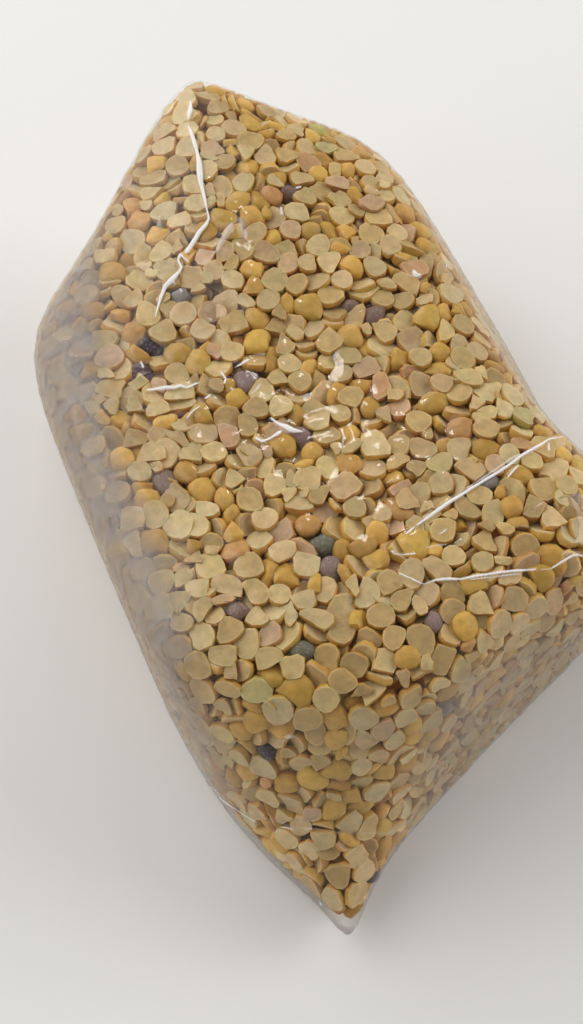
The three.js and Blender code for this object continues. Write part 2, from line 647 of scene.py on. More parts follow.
    def pairs(self, places: np.ndarray, owner: np.ndarray, reach: float) -> tuple[np.ndarray, np.ndarray]:
        """Finds the spheres of different peas that lie near each other.

        Args:
            places: The spheres' centres.
            owner: Each sphere's pea.
            reach: The greatest distance of a pair.

        Returns:
            The numbers of each pair's spheres, as two arrays.
        """
        cell = np.floor((places - places.min(0)) / reach).astype(np.int64) + 1
        size = cell.max(0) + 2
        key = (cell[:, 0] * size[1] + cell[:, 1]) * size[2] + cell[:, 2]
        order = np.argsort(key, kind="stable")
        ranked = key[order]
        firsts, seconds = [], []
        for step in np.ndindex(3, 3, 3):
            ahead = ((step[0] - 1) * size[1] + step[1] - 1) * size[2] + step[2] - 1
            if ahead < 0:
                continue
            low = np.searchsorted(ranked, ranked + ahead, "left") if ahead else np.arange(1, len(ranked) + 1)
            counts = np.maximum(np.searchsorted(ranked, ranked + ahead, "right") - low, 0)
            first = np.repeat(np.arange(len(ranked)), counts)
            second = np.arange(counts.sum()) - np.repeat(np.cumsum(counts) - counts, counts)
            firsts.append(order[first])
            seconds.append(order[second + np.repeat(low, counts)])
        a, b = np.concatenate(firsts), np.concatenate(seconds)
        near = (owner[a] != owner[b]) & (((places[a] - places[b]) ** 2).sum(1) < reach * reach)
        return a[near], b[near]

    def spheres(self, grown: float = 1.0) -> tuple[np.ndarray, np.ndarray]:
        """The spheres' centres and radii, when the peas are grown to a share of their size."""
        places = self.centres[:, None] + np.einsum("nij,nkj->nki", self.turns, self.local * grown)
        return places.reshape(-1, 3), (self.radii * grown).ravel()

    def run(self) -> None:
        """Grows the peas to full size while they push each other aside, then lets them settle."""
        owner = np.repeat(np.arange(len(self.centres)), 7)
        share = 1.0
        rounds, settle = int(self.rounds * share), int(self.settle * share)
        reach = 2 * self.radii.max() + self.skin
        keep_off = 0.0
        for step in range(rounds + settle):
            grown = min(1.0, self.first_size + self.size_gain * step / (self.growing * rounds))
            places, radii = self.spheres(grown)
            if step % self.pair_rounds == 0:
                a, b = self.pairs(places, owner, reach)
                keep_off = self.weld_keep_off(places)
            gap = places[a] - places[b]
            distance = np.sqrt((gap * gap).sum(1))
            over = radii[a] + radii[b] - distance
            touch = np.nonzero(over > 0)[0]
            half = gap[touch] * (0.5 * over[touch] / np.maximum(distance[touch], 1e-6))[:, None]
            depth, outward = self.form.sample(places)
            wall = depth + radii + self.clearance + keep_off
            hits = np.nonzero(wall > 0)[0]
            deep = np.nonzero(depth < -self.depth)[0]
            who = np.concatenate([a[touch], b[touch], hits, deep])
            back = np.minimum(-depth[deep] - self.depth, self.deep_step) * self.deep_share
            move = np.vstack([half, -half, -outward[hits] * wall[hits, None], outward[deep] * back[:, None]])
            ease = max(0.0, 1 - step / rounds)
            outward = unit_rows(outward.reshape(-1, 7, 3).mean(1))
            self.shift(owner[who], places[who], move, outward, self.lie_flat if ease else 0.0)
            self.centres += outward * self.free * self.push * ease
        over = over[over > 0]
        LOG.info("%d contacts, overlap %.3f mm on average", len(over), over.mean())

    def weld_keep_off(self, places: np.ndarray) -> np.ndarray:
        """How much further from the film each sphere stays because of the weld."""
        distance, _ = path_distance(places, self.weld)
        return self.weld_clearance * np.exp(-((distance / self.weld_reach) ** 2))

    def shift(
        self, pea: np.ndarray, place: np.ndarray, move: np.ndarray, outward: np.ndarray, flatten: float
    ) -> None:
        """Moves and turns each pea by what its spheres were pushed.

        Args:
            pea: The pea that each push acts on.
            place: Where it acts.
            move: How far it pushes.
            outward: The way to the film from each pea.
            flatten: How strongly a pea turns its broad side to the film.
        """
        count = len(self.centres)
        contacts = np.bincount(pea, minlength=count)[:, None]
        arm = place - self.centres[pea]
        twist = np.cross(arm, move)
        push = np.stack([np.bincount(pea, move[:, k], count) for k in range(3)], -1)
        torque = np.stack([np.bincount(pea, twist[:, k], count) for k in range(3)], -1)
        inertia = np.bincount(pea, (arm**2).sum(1), count)[:, None] + self.stiffness * contacts
        self.centres += self.free * self.relax * push / np.maximum(contacts, 1)
        angle = self.relax * torque / np.maximum(inertia, 1e-6)
        axis = self.turns[:, :, 2]
        facing = np.sign((axis * outward).sum(1, keepdims=True))
        angle += flatten * np.cross(axis, outward * facing)
        size = np.maximum(np.linalg.norm(angle, axis=1, keepdims=True), TINY)
        angle *= self.free * np.minimum(1, self.most_turn / size)
        x = self.turns[:, :, 0] + np.cross(angle, self.turns[:, :, 0])
        y = self.turns[:, :, 1] + np.cross(angle, self.turns[:, :, 1])
        x = unit_rows(x)
        y = unit_rows(y - (y * x).sum(1, keepdims=True) * x)
        self.turns = np.stack([x, y, np.cross(x, y)], -1)


# --- The peas' own shapes ---


@dataclass(frozen=True)
class SplitPea:
    """One split pea, one unit in radius and in thickness, with its flat face up and its back domed."""

    sides: int = 12
    face_reach: float = 0.92
    face_height: float = 0.5
    # Each ring below the flat face by its reach and height, round to the back.
    rings: tuple[tuple[float, float], ...] = ((1.0, 0.28), (0.97, -0.14), (0.73, -0.41))
    back_height: float = -0.5
    # How far the middle of the flat face sinks, and the reach within which a vertex counts as its middle.
    dish: float = 0.05
    middle: float = 0.1

    def build(self) -> bpy.types.Object:
        """Models the pea from a fan whose rim is drawn out and closed at the back."""
        select_only()
        bpy.ops.mesh.primitive_circle_add(
            vertices=self.sides, radius=self.face_reach, fill_type="TRIFAN", location=(0, 0, self.face_height)
        )
        bpy.ops.object.transform_apply(location=True, rotation=True, scale=True)
        pea = bpy.context.object
        with editing(pea):
            bpy.ops.mesh.region_to_loop()
            reach, height = self.face_reach, self.face_height
            for next_reach, next_height in self.rings:
                bpy.ops.mesh.extrude_region_move(TRANSFORM_OT_translate={"value": (0, 0, next_height - height)})
                scale = next_reach / reach
                bpy.ops.transform.resize(value=(scale, scale, 1), center_override=(0, 0, 0))
                reach, height = next_reach, next_height
            bpy.ops.mesh.extrude_region_move(TRANSFORM_OT_translate={"value": (0, 0, self.back_height - height)})
            bpy.ops.mesh.merge(type="CENTER")
            bpy.ops.mesh.select_all(action="SELECT")
            bpy.ops.mesh.normals_make_consistent(inside=False)
        return pea

    def profile(self, points: np.ndarray) -> np.ndarray:
        """How far round from the flat face to the back each point is.

        Args:
            points: The pea's vertices.

        Returns:
            0 at the middle of the flat face, 1 at its rim, 2 to 4 on the rings, and 5 at the back.
        """
        heights = [self.back_height, *(height for _, height in reversed(self.rings)), self.face_height]
        steps = np.interp(points[:, 2], heights, [5, 4, 3, 2, 1])
        middle = np.hypot(points[:, 0], points[:, 1]) < self.middle
        return np.where(middle & (points[:, 2] > 0), 0.0, steps)


@dataclass(frozen=True)
class WholeSeed:
    """One whole seed in its coat, one unit in radius and half-height."""

    subdivisions: int = 3

    def build(self) -> bpy.types.Object:
        """Models the seed from a ball of small faces."""
        select_only()
        bpy.ops.mesh.primitive_ico_sphere_add(subdivisions=self.subdivisions, radius=1.0, location=(0, 0, 0))
        return bpy.context.object


@dataclass
class Fill:
    """The peas that show through the film, one joined mesh for each kind."""

    # How unevenly a split pea leans, and how much more of its thickness one end takes.
    warp: float = 0.05
    taper: float = 1.6
    # The dark seeds' lumps: their height, their waves, and how closely these follow each other.
    lump: float = 0.035
    lump_waves: int = 4
    lump_pitch: float = 3.2
    smooth_angle: float = 48.0
    seed: int = 23
    husks: tuple[Husk, ...] = ()
    pieces: list[bpy.types.Object] = field(default_factory=list)

    def build(self, packing: PeaPacking) -> None:
        """Builds every kind from its modelled shape.

        Args:
            packing: Where the peas lie.
        """
        rng = np.random.default_rng(self.seed)
        pea, seed = SplitPea().build(), WholeSeed().build()
        for kind, at in packing.members.items():
            template = seed if kind is PeaKind.DARK_SEED else pea
            self.pieces.append(self.join(kind, template, packing, at, rng))
        for template in (pea, seed):
            bpy.data.objects.remove(template)

    def join(
        self,
        kind: PeaKind,
        template: bpy.types.Object,
        packing: PeaPacking,
        at: np.ndarray,
        rng: np.random.Generator,
    ) -> bpy.types.Object:
        """Copies one modelled shape to every pea of a kind, each with its own outline.

        Args:
            kind: The kind of pea.
            template: The modelled shape.
            packing: Where the peas lie.
            at: The numbers of this kind's peas.
            rng: The seeded source of chance.

        Returns:
            The joined piece.
        """
        crop = packing.crops[kind]
        unit = points_of(template.data)
        count, corners = len(at), len(unit)
        shape = np.empty((count, corners, 3))
        shape[..., :2] = crop.outline(np.broadcast_to(unit[:, :2], (count, corners, 2)))
        shape[..., 2] = unit[:, 2] * crop.thickness[:, None]
        if kind is PeaKind.DARK_SEED:
            # The modelled seed is two units high.
            shape[..., 2] *= 0.5
            waves = rng.normal(0, self.lump_pitch, (3, self.lump_waves))
            lump = np.sin(unit @ waves + rng.uniform(0, 6, self.lump_waves)).sum(1)
            shape *= 1 + self.lump * lump[:, None]
            profile = np.zeros(corners)
        else:
            profile = SplitPea().profile(unit)
            # A pea is seldom even: it leans, and its flat face is a little saddled.
            lean = rng.normal(0, self.warp, (count, 3))
            flat = shape[..., :2] / crop.radius[:, None, None]
            shape[..., 2] += crop.radius[:, None] * (
                lean[:, :1] * (flat[..., 0] ** 2 - flat[..., 1] ** 2)
                + lean[:, 1:2] * flat[..., 0] * flat[..., 1] * 2
            )
            shape[..., 2] *= 1 + self.taper * lean[:, 2:] * flat[..., 0]
            shape[..., 2] -= np.where(profile == 0, SplitPea.dish, 0) * crop.thickness[:, None]
        shape += rng.normal(0, crop.cut.rough, shape.shape)
        shape -= packing.middles[at][:, None]
        points = packing.centres[at][:, None] + np.einsum("nij,nkj->nki", packing.turns[at], shape)
        points = self.seat(points, packing)
        mesh = self.mesh_of(kind.value, template.data, points)
        piece = bpy.data.objects.new(kind.value, mesh)
        bpy.context.scene.collection.objects.link(piece)
        set_values(mesh, "profile", np.tile(profile, count))
        tones = rng.uniform(0, 1, count)
        if kind is PeaKind.DARK_SEED:
            husks = list(Husk)
            tones = rng.integers(0, len(husks), count) / (len(husks) - 1)
            tones[: len(self.husks)] = [husks.index(husk) / (len(husks) - 1) for husk in self.husks]
        set_values(mesh, "tone", np.repeat(tones, corners))
        set_values(mesh, "value", np.repeat(rng.uniform(0, 1, count), corners))
        select_only(piece)
        bpy.ops.object.shade_smooth_by_angle(angle=math.radians(self.smooth_angle))
        return piece

    @staticmethod
    def seat(
        points: np.ndarray, packing: PeaPacking, gap: float = 0.15, reach: float = 1.0, passes: int = 4
    ) -> np.ndarray:
        """Moves whole peas so that the outermost ones touch the film, and none sticks out through it.

        Args:
            points: Every pea's points, in millimetres.
            packing: Where the peas lie.
            gap: How far inside the film a pea stays.
            reach: How close to the film a pea must be to be drawn out to it.
            passes: How often the peas are moved.

        Returns:
            The points after the move.
        """
        for _ in range(passes):
            flat = points.reshape(-1, 3)
            depth, outward = packing.form.sample(flat)
            depth = (depth + packing.weld_keep_off(flat)).reshape(points.shape[:2]) + gap
            worst = depth.argmax(1)
            rows = np.arange(len(points))
            back = np.where(depth[rows, worst] > -reach, depth[rows, worst], 0)
            points = points - (outward.reshape(points.shape)[rows, worst] * back[:, None])[:, None]
        return points

    @staticmethod
    def mesh_of(name: str, template: bpy.types.Mesh, points: np.ndarray) -> bpy.types.Mesh:
        """Repeats a template's faces over the points of many copies.

        Args:
            name: The new mesh's name.
            template: The modelled shape.
            points: The copies' points, in millimetres.

        Returns:
            The joined mesh, in metres.
        """
        count, corners = points.shape[:2]
        sizes = np.array([len(face.vertices) for face in template.polygons])
        loops = np.concatenate([list(face.vertices) for face in template.polygons])
        mesh = bpy.data.meshes.new(name)
        mesh.vertices.add(count * corners)
        mesh.loops.add(count * len(loops))
        mesh.polygons.add(count * len(sizes))
        all_loops = (np.arange(count)[:, None] * corners + loops).ravel()
        all_sizes = np.tile(sizes, count)
        mesh.loops.foreach_set("vertex_index", all_loops.astype(np.int32))
        mesh.polygons.foreach_set("loop_start", (np.cumsum(all_sizes) - all_sizes).astype(np.int32))
        mesh.polygons.foreach_set("loop_total", all_sizes.astype(np.int32))
        mesh.update(calc_edges=True)
        set_points(mesh, points.reshape(-1, 3) * MM)
        return mesh


# --- Finishes ---


@dataclass(frozen=True)
class PeaFinish:
    """Split and dehusked pea: a matt, mealy cut face, and a smoother, more golden back."""

    name: str = "split_pea_cotyledon"
    # The shares of the crop up to each colour, which each pea's tone looks up. The last two are rare.
    shares: tuple[float, ...] = (0.0, 0.25, 0.48, 0.69, 0.87, 0.98, 0.99, 1.0)
    faces: tuple[str, ...] = (
        "#dbc290", "#d1b67a", "#d9bb8a", "#caaa6d", "#c8a970", "#d4b08c", "#cf9c6a", "#c4b67c",
    )  # fmt: skip
    backs: tuple[str, ...] = (
        "#dab152", "#cfa547", "#dfb158", "#c79b42", "#cd9e4c", "#cf9c5e", "#cf9250", "#b3a650",
    )  # fmt: skip
    # The colour of the painted highlight along the cut face's rim.
    highlight_edge: str = "#e3cc94"
    # How strongly the painted highlight on the cut face's rim shows, and where on the profile it begins, is
    # strongest and ends.
    rim_highlight_share: float = 0.4
    rim_highlight_places: tuple[float, ...] = (0.86, 0.96, 1.04, 1.225)
    # From where to where on the profile the face's colour turns into the back's.
    turn_over: tuple[float, float] = (1.05, 1.7)
    # How many mealy spots of about 1.6 mm and grains of about 0.6 mm go in a metre, and their depths in metres.
    spots: float = 620.0
    spot_depth: float = 0.0005
    grains: float = 1700.0
    grain_depth: float = 0.00012
    # How dark and how bright a spot and a whole pea are.
    spot_shades: tuple[float, float] = (0.84, 1.08)
    pea_shades: tuple[float, float] = (0.82, 1.08)
    roughness: float = 0.55
    ior: float = 1.45
    # Light seeps about 2 mm into the pea.
    subsurface: float = 0.35
    seep: float = 0.0018

    def build(self) -> bpy.types.Material:
        """Builds the material from the peas' own attributes."""
        material, add = new_material(self.name)
        profile, tone, value = (
            add("ShaderNodeAttribute", attribute_name=name).outputs["Fac"] for name in ("profile", "tone", "value")
        )
        spot = add("ShaderNodeTexCoord").outputs["Object"]
        face, back = (
            add("ShaderNodeValToRGB", {0: tone}, list(zip(self.shares, map(linear, colours)))).outputs[0]
            for colours in (self.faces, self.backs)
        )
        low, high = self.turn_over
        around = add(
            "ShaderNodeMapRange",
            {"Value": profile, "From Min": low, "From Max": high},
            interpolation_type="SMOOTHSTEP",
        )
        turned = add("ShaderNodeMix", {0: around.outputs[0], 6: face, 7: back}, data_type="RGBA")
        # Painted highlight: the cut face ends in a thin paler edge, where the profile is about 1, as if its rim
        # caught the light. A ramp reads only up to 1.
        fifth = add("ShaderNodeMath", {0: profile, 1: 0.2}, operation="MULTIPLY")
        levels = zip(self.rim_highlight_places, (0.0, self.rim_highlight_share, self.rim_highlight_share, 0.0))
        stops = [(place / 5, (level, level, level, 1.0)) for place, level in levels]
        rim_highlight = add("ShaderNodeValToRGB", {0: fifth.outputs[0]}, stops)
        colour = add(
            "ShaderNodeMix", {0: rim_highlight.outputs[0], 6: turned.outputs[2], 7: linear(self.highlight_edge)}, data_type="RGBA"
        )
        mottle, grain = (
            add("ShaderNodeTexNoise", {"Vector": spot, "Scale": scale, "Detail": 2.0}).outputs[0]
            for scale in (self.spots, self.grains)
        )
        (dull, bright), (dim, lit) = self.spot_shades, self.pea_shades
        ranges = (
            {"Value": mottle, "From Min": 0.3, "From Max": 0.7, "To Min": dull, "To Max": bright},
            {"Value": value, "To Min": dim, "To Max": lit},
        )
        shade, spread = (add("ShaderNodeMapRange", sockets).outputs[0] for sockets in ranges)
        strength = add("ShaderNodeMath", {0: shade, 1: spread}, operation="MULTIPLY")
        tinted = add(
            "ShaderNodeMix",
            {0: 1.0, 6: colour.outputs[2], 7: strength.outputs[0]},
            data_type="RGBA",
            blend_type="MULTIPLY",
        )
        dents = add("ShaderNodeBump", {"Strength": 0.35, "Distance": self.spot_depth, "Height": mottle})
        bump = add(
            "ShaderNodeBump",
            {"Strength": 0.4, "Distance": self.grain_depth, "Height": grain, "Normal": dents.outputs[0]},
        )
        shader = add(
            "ShaderNodeBsdfPrincipled",
            {
                "Base Color": tinted.outputs[2],
                "Roughness": self.roughness,
                "IOR": self.ior,
                "Subsurface Weight": self.subsurface,
                "Subsurface Scale": self.seep,
                "Normal": bump.outputs[0],
            },
        )
        add("ShaderNodeOutputMaterial", {0: shader.outputs[0]})
        return material


@dataclass(frozen=True)
class DarkSeedFinish:
    """The husk of whole seeds: dull, finely speckled, and of one colour a seed."""

    name: str = "seed_husk"
    speck_colour: str = "#a79a8c"
    # How many specks of about half a millimetre go in a metre, their depth in metres, and how much they show.
    specks: float = 2200.0
    speck_depth: float = 0.0002
    speck_share: float = 0.5
    roughness: float = 0.7

    def build(self) -> bpy.types.Material:
        """Builds the material from the seeds' own attributes."""
        material, add = new_material(self.name)
        tone = add("ShaderNodeAttribute", attribute_name="tone")
        spot = add("ShaderNodeTexCoord").outputs["Object"]
        stops = [(k / (len(Husk) - 1), linear(husk.value)) for k, husk in enumerate(Husk)]
        husks = add("ShaderNodeValToRGB", {0: tone.outputs["Fac"]}, stops)
        noise = add("ShaderNodeTexNoise", {"Vector": spot, "Scale": self.specks, "Detail": 2.0})
        share = add(
            "ShaderNodeMapRange",
            {"Value": noise.outputs[0], "From Min": 0.52, "From Max": 0.7, "To Max": self.speck_share},
        )
        colour = add(
            "ShaderNodeMix",
            {0: share.outputs[0], 6: husks.outputs[0], 7: linear(self.speck_colour)},
            data_type="RGBA",
        )
        bump = add("ShaderNodeBump", {"Strength": 0.6, "Distance": self.speck_depth, "Height": noise.outputs[0]})
        shader = add(
            "ShaderNodeBsdfPrincipled",
            {"Base Color": colour.outputs[2], "Roughness": self.roughness, "Normal": bump.outputs[0]},
        )
        add("ShaderNodeOutputMaterial", {0: shader.outputs[0]})
        return material


@dataclass(frozen=True)
class CoreFinish:
    """Painted shade between the peas further in: dark, dull, cloudy so that no two gaps look alike, and lifted by a
    faint painted glow.
    """

    name: str = "pea_shade"
    dark: str = "#964e1a"
    light: str = "#b87a38"
    # How many clouds of about 4 mm go in a metre.
    clouds: float = 250.0
    roughness: float = 0.9
    # Painted glow: the core gives off a little brown light in place of the light that seeps through the peas, so the
    # deepest gaps stay brown.
    painted_glow: str = "#a85f22"
    painted_glow_strength: float = 0.13

    def build(self) -> bpy.types.Material:
        """Builds the material from a cloudy noise."""
        material, add = new_material(self.name)
        spot = add("ShaderNodeTexCoord").outputs["Object"]
        cloud = add("ShaderNodeTexNoise", {"Vector": spot, "Scale": self.clouds, "Detail": 3.0})
        stops = [(0.3, linear(self.dark)), (0.7, linear(self.light))]
        shades = add("ShaderNodeValToRGB", {0: cloud.outputs[0]}, stops)
        shader = add(
            "ShaderNodeBsdfPrincipled",
            {
                "Base Color": shades.outputs[0],
                "Roughness": self.roughness,
                "Emission Color": linear(self.painted_glow),
                "Emission Strength": self.painted_glow_strength,
            },
        )
        add("ShaderNodeOutputMaterial", {0: shader.outputs[0]})
        return material


@dataclass(frozen=True)
class FilmFinish:
    """Clear polythene film, blown and heat-welded: glossy, a little cloudy, white along its creases with stress and
    a painted highlight, and milky in stretches that are partly a painted reflection of the pale floor.
    """

    name: str = "polythene_film"
    # What the outer face of polythene mirrors of a ray that meets it head on, for an IOR of about 1.5.
    head_on: float = 0.04
    # What it mirrors at a grazing angle: less than all, because the sheet never lies quite flat.
    edge_on: float = 0.6
    gloss_roughness: float = 0.07
    # How many ripples of about 4 mm and clouds of milk of about 8 mm go in a metre, and the ripples' depth.
    ripples: float = 260.0
    ripple_depth: float = 0.0003
    clouds: float = 130.0
    cloud_shades: tuple[float, float] = (0.8, 1.12)
    # The grey of the milk, partly a painted reflection of the pale floor.
    milk_and_reflection_colour: str = "#b2aaa3"
    # The white of the creases: stress whitening, and a painted highlight.
    stress_and_glint_colour: str = "#f4f1ee"

    def build(self) -> bpy.types.Material:
        """Builds the material: gloss by the angle of sight over what shows through, then the milk with its painted
        floor reflection, then the creases' white of stress and painted highlight.
        """
        material, add = new_material(self.name)
        spot = add("ShaderNodeTexCoord").outputs["Object"]
        milk_and_reflection, stress_and_glint = (
            add("ShaderNodeAttribute", attribute_name=name).outputs["Fac"] for name in ("milk_and_reflection", "stress_and_glint")
        )
        ripple, cloud = (
            add("ShaderNodeTexNoise", {"Vector": spot, "Scale": scale, "Detail": detail}).outputs[0]
            for scale, detail in ((self.ripples, 2.0), (self.clouds, 3.0))
        )
        # Painted reflection: the milk's grey diffuse stands partly for the pale floor mirrored where the film turns
        # edge-on.
        dull, glint_white = (
            add("ShaderNodeBsdfDiffuse", {"Color": linear(colour)}).outputs[0]
            for colour in (self.milk_and_reflection_colour, self.stress_and_glint_colour)
        )
        bump = add("ShaderNodeBump", {"Strength": 0.15, "Distance": self.ripple_depth, "Height": ripple})
        facing = add("ShaderNodeLayerWeight", {"Blend": 0.5, "Normal": bump.outputs[0]})
        # What a sheet mirrors rises from head on to edge on with the fifth power of how far it is turned.
        fifth = add("ShaderNodeMath", {0: facing.outputs["Facing"], 1: 5.0}, operation="POWER")
        mirrored = add(
            "ShaderNodeMath",
            {0: fifth.outputs[0], 1: self.edge_on - self.head_on, 2: self.head_on},
            operation="MULTIPLY_ADD",
        )
        clear = add("ShaderNodeBsdfTransparent").outputs[0]
        gloss = add(
            "ShaderNodeBsdfGlossy", {"Roughness": self.gloss_roughness, "Normal": bump.outputs[0]}
        ).outputs[0]
        dim, bright = self.cloud_shades
        uneven = add(
            "ShaderNodeMapRange",
            {"Value": cloud, "From Min": 0.3, "From Max": 0.7, "To Min": dim, "To Max": bright},
        )
        haze_and_reflection = add("ShaderNodeMath", {0: milk_and_reflection, 1: uneven.outputs[0]}, operation="MULTIPLY", use_clamp=True)
        film = clear
        # Painted highlight: the creases' white goes on last, over the gloss and the milk.
        for share, layer in ((mirrored.outputs[0], gloss), (haze_and_reflection.outputs[0], dull), (stress_and_glint, glint_white)):
            film = add("ShaderNodeMixShader", {0: share, 1: film, 2: layer}).outputs[0]
        add("ShaderNodeOutputMaterial", {0: film})
        return material


# --- The pieces around the peas ---


@dataclass(frozen=True)
class SeenSeed:
    """A dark seed that the photograph shows, by its pixel, its radius in millimetres and its husk."""

    x: float
    y: float
    radius: float
    husk: Husk
    # How far its middle lies under the film, as a share of its radius.
    sink: float = 0.9

    def place(self, form: BagForm, view: PhotoView) -> np.ndarray:
        """Where its middle lies, straight in from the film that its pixel shows."""
        surface, normal = form.under_pixel(view, (self.x, self.y))
        return surface - normal * self.radius * self.sink


SEEN_SEEDS: tuple[SeenSeed, ...] = tuple(SeenSeed(*row) for row in (
    (178, 293, 2.0, Husk.GREY), (147, 343, 2.3, Husk.BLACK), (140, 368, 2.3, Husk.PURPLE),
    (247, 377, 2.4, Husk.MAUVE), (302, 431, 2.2, Husk.MAUVE), (290, 187, 1.9, Husk.BROWN),
    (374, 311, 2.1, Husk.BROWN), (352, 301, 1.8, Husk.BROWN), (165, 478, 3.3, Husk.BROWN),
    (325, 540, 2.3, Husk.GREEN), (331, 565, 2.3, Husk.MAUVE), (302, 647, 2.0, Husk.GREEN),
    (490, 478, 1.8, Husk.GREY), (238, 608, 1.7, Husk.BROWN), (265, 757, 1.9, Husk.BLACK),
    (450, 716, 1.9, Husk.GREY), (435, 620, 1.7, Husk.MAUVE), (570, 648, 2.1, Husk.GREY), (399, 852, 2.0, Husk.GREY),
    (385, 880, 1.9, Husk.PURPLE), (74, 275, 1.2, Husk.BROWN), (69, 317, 1.1, Husk.BROWN),
    (86, 333, 1.1, Husk.MAUVE), (75, 367, 1.3, Husk.BROWN), (113, 520, 1.3, Husk.BROWN),
))  # fmt: skip
# The welded end of the bag, along the near ear's lower left side.
WELD_PIXELS: tuple[Pixel, ...] = ((187, 773), (235, 832), (290, 897), (330, 925), (357, 942))


@dataclass
class FillCore:
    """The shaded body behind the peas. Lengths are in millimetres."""

    inset: float = 6.6
    voxel: float = 2.6
    passes: int = 3

    def build(self, node: bpy.types.Object, form: BagForm) -> bpy.types.Object:
        """Shrinks a copy of the bag's solid and closes it again.

        Args:
            node: The bag's solid.
            form: The bag's form.

        Returns:
            The core.
        """
        core = copy_of(node, "pea_core")
        apply_modifier(core, "REMESH", mode="VOXEL", voxel_size=self.voxel * MM)
        for _ in range(self.passes):
            points = points_of(core.data, 1 / MM)
            depth, outward = form.sample(points)
            set_points(core.data, (points - outward * (depth + self.inset)[:, None]) * MM)
            even_out(core, 2)
        apply_modifier(core, "REMESH", mode="VOXEL", voxel_size=self.voxel * MM)
        return core


@dataclass(frozen=True)
class CreaseAndGlint:
    """A sharp crease of the film, or a point where it is drawn tight over a pea, with a painted white highlight
    along it.
    """

    # The pixels it runs through, each with its width in pixels there.
    path: tuple[tuple[float, float, float], ...]
    # How white it is, from stress and a painted highlight.
    glint_white: float = 1.0
    # How gradually it ends sideways, as a share of its half width.
    soft: float = 0.25
